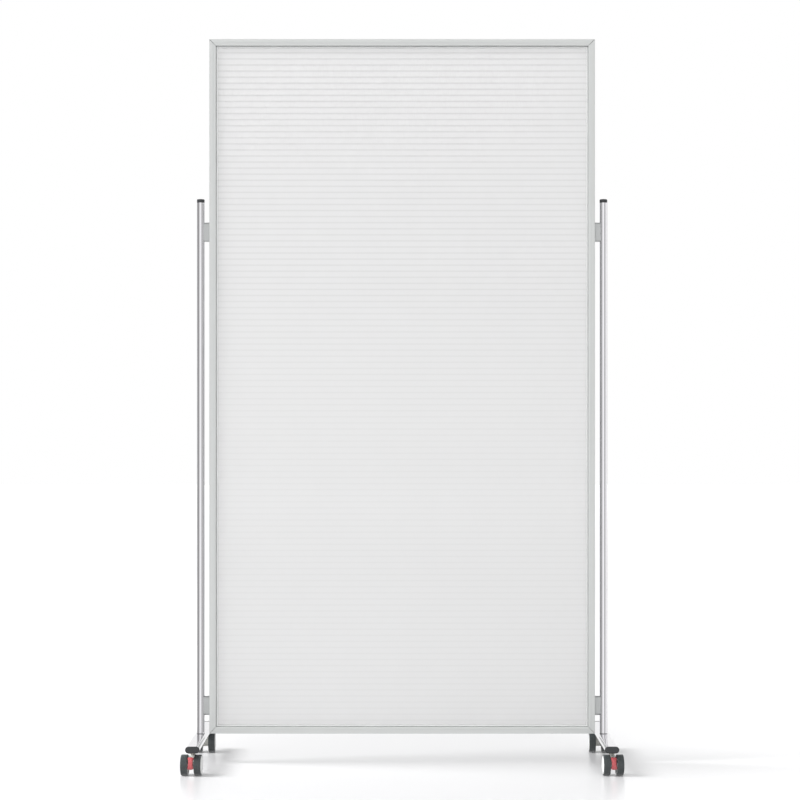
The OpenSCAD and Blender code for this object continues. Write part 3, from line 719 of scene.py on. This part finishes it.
class PARTITION_OT_wheels(PartitionOperator):
    """Wheels with a stepped, domed outer face, and tyres with two fine grooves round the tread"""
    bl_idname = "partition.wheels"
    bl_label = "Wheels and tyres"

    def wheel_profile(self, rim, inner, outer):
        """Closed (x, radius) loop: hub, recessed inner side, rim and a domed outer face.

        The dome's height falls with the square of the radius, and a shallow ring is turned into it.
        """
        hub, bore, hub_wall, web, rim_wall = 6.8 * MM, 4.05 * MM, 3.0 * MM, 2.0 * MM, 2.5 * MM
        bulge, round_edge, step, centre = 0.8 * MM, 0.7 * MM, 0.5 * MM, 0.3 * MM
        ring_at, ring_half, ring_deep = rim * 0.45, 0.7 * MM, 0.25 * MM
        radii = np.linspace(rim - 2.6 * MM, centre, 14)
        ring = np.where(np.abs(radii - ring_at) < ring_half, ring_deep, 0.0)
        face = np.stack([outer - 0.1 * MM + bulge * (1 - (radii / rim) ** 2) - ring, radii], axis=1)
        return np.concatenate([
            [(hub, bore), (hub, bore + hub_wall), (inner + web, bore + hub_wall + 0.2 * MM)],
            [(inner + web, rim - rim_wall), (inner + 0.3 * MM, rim - rim_wall + 0.2 * MM)],
            [(inner + 0.2 * MM, rim), (outer - step, rim)],
            arc((outer - round_edge, rim - round_edge), round_edge, 80, 10, 5),
            [(outer - 0.1 * MM, rim - 1.6 * MM), (outer - step, rim - 2.0 * MM)],
            face,
            [(outer - 4 * MM, centre), (outer - 4 * MM, bore)],
        ])

    def tyre_profile(self, rim, tread, inner, outer):
        """Closed (x, radius) loop with rounded shoulders and two grooves in the tread."""
        shoulder, line, wide, narrow = 2.0 * MM, sizes().tread_line, 0.45 * MM, 0.2 * MM
        grooves = []
        for share in (0.36, 0.64):
            x = inner + (outer - inner) * share
            grooves += [(x - wide, tread), (x - narrow, tread - line)]
            grooves += [(x + narrow, tread - line), (x + wide, tread)]
        return np.concatenate([
            [(inner, rim)],
            arc((inner + shoulder, tread - shoulder), shoulder, 180, 90, 8),
            grooves,
            arc((outer - shoulder, tread - shoulder), shoulder, 90, 0, 8),
            [(outer, rim)],
        ])

    def execute(self, context):
        inner, outer = sizes().wheel_inner, sizes().wheel_outer
        for corner in CORNERS:
            middle = np.array(JOINTS[corner + "_swivel"]["pos_m"])
            for place in WHEEL_PLACES:
                stem = corner + "_" + place
                joint = JOINTS[stem + "_spin"]
                centre, axis = np.array(joint["pos_m"]), np.array(joint["axis"])
                along = np.dot(centre - middle, axis)
                outward, origin, tread = axis * np.sign(along), centre - axis * along, centre[2]
                rim = tread - sizes().tyre_height
                wheel = self.wheel_profile(rim, inner, outer)
                tyre = self.tyre_profile(rim, tread, inner, outer)
                for profile, part in ((wheel, "wheel"), (tyre, "tyre")):
                    points, faces = revolved(profile)
                    moved = placed(points, origin, outward)
                    made = as_object(stem + "_" + part + "_turned", moved, faces)
                    fit_out(made, part, stem + "_roller", stem + "_" + part)
        return {"FINISHED"}


class PARTITION_OT_brake_levers(PartitionOperator):
    """Red rocking levers: a curved plate that widens into a rounded pad at each end"""
    bl_idname = "partition.brake_levers"
    bl_label = "Brake levers"

    def plate(self, tread):
        """Superellipses of power 0.45 across and 0.6 through the plate, set along an arc about the axle.

        A logistic curve of the distance from the arc's middle widens the waist to the pads, and a
        quarter ellipse of that distance closes both ends.
        """
        low, high = math.radians(-24), math.radians(60)
        pad_at, pad_rate, close_at = 0.52, 22, 0.8
        a = np.linspace(low, high, 41)
        share = np.abs((a - low) / (high - low) * 2 - 1)
        swell = 1 / (1 + np.exp(-(share - pad_at) * pad_rate))
        closing = np.clip((share - close_at) / (1 - close_at), 0, 1)
        closing = np.sqrt(np.clip(1 - closing ** 2, 0.02, 1))
        waist, pad_gain, end_share = 5.7 * MM, 1.8 * MM, 0.35
        top_gap, pad_rise, under_gap, end_drop, end_lift = (size * MM for size in (1.6, 0.6, 6.0, 1.6, 1.2))
        half = (waist + pad_gain * swell) * (end_share + (1 - end_share) * closing)
        outer = tread - (top_gap - pad_rise * swell) - (1 - closing) * end_drop
        inner = tread - under_gap + (1 - closing) * end_lift
        t = np.linspace(0, 2 * math.pi, 32, endpoint=False)
        radius = ((outer + inner) / 2)[:, None] + ((outer - inner) / 2)[:, None] * rounded(np.sin(t), 0.6)
        grid = np.stack([
            half[:, None] * rounded(np.cos(t), 0.45),
            -radius * np.cos(a)[:, None],
            radius * np.sin(a)[:, None]], axis=-1)
        return rings(grid, False, True)

    def lug(self, pin, half_wide):
        """A straight arm of rounded section from the pin outwards into the plate."""
        out = pin / np.linalg.norm(pin)
        up = np.cross((1.0, 0.0, 0.0), out)
        t = np.linspace(0, 2 * math.pi, 24, endpoint=False)
        section = (np.outer(rounded(np.cos(t), 0.4) * half_wide, (1, 0, 0))
                   + np.outer(np.sin(t) * 3.6 * MM, up))
        return rings(np.array([pin + out * r + section for r in np.linspace(0, 8 * MM, 6)]), False, True)

    def boss(self, pin, half_wide):
        """A turned eye round the pin with eased edges."""
        bore, radius, ease = 1.55 * MM, 3.95 * MM, 0.25 * MM
        points, faces = revolved(np.array([
            (-half_wide, bore), (-half_wide, radius - ease), (ease - half_wide, radius),
            (half_wide - ease, radius), (half_wide, radius - ease), (half_wide, bore)]), 48)
        return points + pin, faces

    def execute(self, context):
        half_wide = sizes().lever_eye / 2
        for side in SIDES:
            swivel = np.array(JOINTS["front_" + side + "_swivel"]["pos_m"])
            spin = JOINTS["front_" + side + "_outer_spin"]
            axle, axis = np.array(spin["pos_m"]), np.array(spin["axis"])
            origin = axle - axis * np.dot(axle - swivel, axis)
            # The pin's place with the axle as x and up as z.
            away = np.array(JOINTS[side + "_brake_tilt"]["pos_m"]) - origin
            pin = np.array([np.dot(away, axis), np.dot(away, np.cross((0, 0, 1), axis)), away[2]])
            points, faces = joined([
                self.plate(axle[2]), self.lug(pin, half_wide), self.boss(pin, half_wide)])
            made = as_object(side + "_brake_rocker", placed(points, origin, axis), faces)
            fit_out(made, "brake", side + "_brake", side + "_brake_lever")
            dressed(side + "_lever_pin", "steel")
        return {"FINISHED"}


class PARTITION_OT_fixings(PartitionOperator):
    """Inner pieces and fixings keep their construction and get their finish"""
    bl_idname = "partition.fixings"
    bl_label = "Fixings and inner pieces"

    def execute(self, context):
        for name in ("bracket_bolts", "foot_bolts"):
            dressed(name, "steel")
        for name in ("corner_cleats", "nut_plates", "upright_inserts", "stem_sockets"):
            dressed(name, "zinc")
        return {"FINISHED"}


class PARTITION_OT_stage(PartitionOperator):
    """Pale floor, white surroundings, soft lamps and the camera at the photograph's place"""
    bl_idname = "partition.stage"
    bl_label = "Stage"

    def camera(self, scene):
        """Level camera: its focal length and place put the panel where the photograph has it."""
        image_px, focal_px, horizon_px = 800.0, 2702.0, 419.9
        place = (-0.0055, -7.013, 0.888)
        data = bpy.data.cameras.new("photo_camera")
        data.sensor_width = 36.0
        data.lens = focal_px / image_px * data.sensor_width
        data.shift_y = (horizon_px - image_px / 2) / image_px
        data.clip_end = 60.0
        made = bpy.data.objects.new("photo_camera", data)
        made.location = place
        made.rotation_euler = (math.pi / 2, 0.0, 0.0)
        scene.collection.objects.link(made)
        scene.camera = made

    def lamp(self, name, place, aim, size, energy):
        """A square area lamp at a place, turned to its aim; sizes in metres, energy in watts."""
        data = bpy.data.lights.new(name, "AREA")
        data.shape, data.size, data.energy = "SQUARE", size, energy
        made = bpy.data.objects.new(name, data)
        made.location = place
        made.visible_glossy = False  # mirrors show the studio's flats, not the lamps' panels
        direction = np.array(aim, float) - np.array(place, float)
        tilt = math.atan2(math.hypot(direction[0], direction[1]), -direction[2])
        made.rotation_euler = (tilt, 0.0, math.atan2(-direction[0], direction[1]))
        bpy.context.collection.objects.link(made)

    def world(self, scene):
        """White behind the object, and grey studio flats round it for mirrors, by their azimuth."""
        made = bpy.data.worlds.new("studio")
        made.use_nodes = True
        tree = made.node_tree
        tree.nodes.clear()
        rays = node(tree, "ShaderNodeLightPath")
        where = node(tree, "ShaderNodeTexCoord")
        split = node(tree, "ShaderNodeSeparateXYZ", {"Vector": where.outputs["Generated"]})
        ahead = node(tree, "ShaderNodeMath", {0: split.outputs["Y"], 1: -1.0}, operation="MULTIPLY")
        azimuth = node(tree, "ShaderNodeMath", {0: split.outputs["X"], 1: ahead.outputs[0]},
                       operation="ARCTAN2")
        share = node(tree, "ShaderNodeMapRange", {
            "Value": azimuth.outputs[0], "From Min": -math.pi, "From Max": math.pi})
        ramp = node(tree, "ShaderNodeValToRGB", {"Fac": share.outputs["Result"]})
        # Azimuth in degrees from the camera's side, and the grey of the studio there.
        flats = [(-180, 1.0), (-152, 1.0), (-125, 0.6), (-105, 0.34), (-80, 0.32), (-62, 0.44),
                 (-42, 0.64), (-26, 1.15), (-10, 1.0), (4, 1.15), (14, 1.45), (27, 0.55), (38, 0.3),
                 (56, 0.36), (72, 1.5), (90, 1.9), (106, 0.5), (125, 0.45), (152, 1.0), (180, 1.0)]
        elements = ramp.color_ramp.elements
        for position, (degrees, level) in zip((0.0, 1.0), (flats[0], flats[-1])):
            end = elements[0] if position == 0.0 else elements[-1]
            end.position, end.color = position, (level, level, level, 1.0)
        for degrees, level in flats[1:-1]:
            elements.new((degrees + 180) / 360).color = (level, level, level, 1.0)
        ceiling = node(tree, "ShaderNodeMapRange", {
            "Value": split.outputs["Z"], "From Min": 0.3, "From Max": 0.75,
            "To Min": 1.0, "To Max": 0.45})
        mirrored = node(tree, "ShaderNodeBackground", {
            "Color": ramp.outputs["Color"], "Strength": ceiling.outputs["Result"]})
        plain, white = (
            node(tree, "ShaderNodeBackground", {"Color": (1.0, 1.0, 1.0, 1.0), "Strength": level})
            for level in (0.67, 1.0))
        lit = node(tree, "ShaderNodeMixShader", {
            "Fac": rays.outputs["Is Glossy Ray"], 1: plain.outputs[0], 2: mirrored.outputs[0]})
        seen = node(tree, "ShaderNodeMath", {
            0: rays.outputs["Is Camera Ray"], 1: rays.outputs["Is Transmission Ray"]},
            operation="MAXIMUM")
        mixed = node(tree, "ShaderNodeMixShader", {
            "Fac": seen.outputs[0], 1: lit.outputs[0], 2: white.outputs[0]})
        node(tree, "ShaderNodeOutputWorld", {"Surface": mixed.outputs[0]})
        scene.world = made

    def floor(self):
        """A wide pale floor with a faint gloss, whose far part glows white for the camera alone."""
        half = 30.0
        corners = [(-half, -half, 0.0), (half, -half, 0.0), (half, half, 0.0), (-half, half, 0.0)]
        made = as_object("floor", corners, [(0, 1, 2, 3)], outward=False)
        material, tree, principled = shader("pale_studio_floor", linear("#C0C0C1"), Roughness=0.3)
        rays = node(tree, "ShaderNodeLightPath")
        where = node(tree, "ShaderNodeTexCoord")
        # The glow starts nearer at the sides than behind.
        flat = node(tree, "ShaderNodeMapping", {
            "Vector": where.outputs["Object"], "Scale": (1.0, 0.55, 1.0)})
        away = node(tree, "ShaderNodeVectorMath", {0: flat.outputs["Vector"]}, operation="LENGTH")
        near, far = (
            node(tree, "ShaderNodeMapRange", {
                "Value": away.outputs["Value"], "From Min": start, "From Max": end, "To Max": level})
            for start, end, level in ((0.5, 1.0, 0.16), (1.0, 12.0, 0.4)))
        glow = node(tree, "ShaderNodeMath", {0: near.outputs["Result"], 1: far.outputs["Result"]})
        lift = node(tree, "ShaderNodeMath", {
            0: rays.outputs["Is Camera Ray"], 1: glow.outputs[0]}, operation="MULTIPLY")
        principled.inputs["Emission Color"].default_value = (1.0, 1.0, 1.0, 1.0)
        tree.links.new(lift.outputs[0], principled.inputs["Emission Strength"])
        made.data.materials.append(material)
        made.visible_glossy = False  # the uprights mirror the studio's flats down to their feet

    def execute(self, context):
        scene = context.scene
        self.camera(scene)
        self.world(scene)
        self.floor()
        self.lamp("key", (-1.5, -6.5, 7.0), (0.0, 0.0, 1.0), 4.5, 200.0)
        self.lamp("top", (0.9, -1.2, 5.4), (0.2, 0.0, 1.0), 2.0, 40.0)
        self.lamp("side", (-8.0, 0.0, 8.0), (0.0, 0.0, 0.4), 5.0, 2000.0)
        scene.view_settings.view_transform = "Standard"
        return {"FINISHED"}


class PARTITION_PT_panel(bpy.types.Panel):
    """Lists the partition's pieces, sizes and colours in the sidebar"""
    bl_idname = "PARTITION_PT_panel"
    bl_label = "Rolling partition"
    bl_space_type = "VIEW_3D"
    bl_region_type = "UI"
    bl_category = "Partition"

    def draw(self, context):
        for operator in OPERATORS:
            self.layout.operator(operator.bl_idname)
        for group in (context.scene.partition_sizes, context.scene.partition_finish):
            box = self.layout.box()
            for name in group.__annotations__:
                box.prop(group, name)


OPERATORS = (
    PARTITION_OT_stage,
    PARTITION_OT_rails,
    PARTITION_OT_cleat_screws,
    PARTITION_OT_gaskets,
    PARTITION_OT_sheet,
    PARTITION_OT_uprights,
    PARTITION_OT_brackets,
    PARTITION_OT_feet,
    PARTITION_OT_castor_bodies,
    PARTITION_OT_wheels,
    PARTITION_OT_brake_levers,
    PARTITION_OT_fixings,
)
CLASSES = (PartitionSizes, PartitionFinish, *OPERATORS, PARTITION_PT_panel)


def register():
    for each in CLASSES:
        bpy.utils.register_class(each)
    bpy.types.Scene.partition_sizes = bpy.props.PointerProperty(type=PartitionSizes)
    bpy.types.Scene.partition_finish = bpy.props.PointerProperty(type=PartitionFinish)


def unregister():
    del bpy.types.Scene.partition_finish
    del bpy.types.Scene.partition_sizes
    for each in reversed(CLASSES):
        bpy.utils.unregister_class(each)


def main():
    register()
    make_materials()
    for operator in OPERATORS:
        group, name = operator.bl_idname.split(".")
        getattr(getattr(bpy.ops, group), name)()
    bpy.context.view_layer.update()


if __name__ == "__main__":
    main()
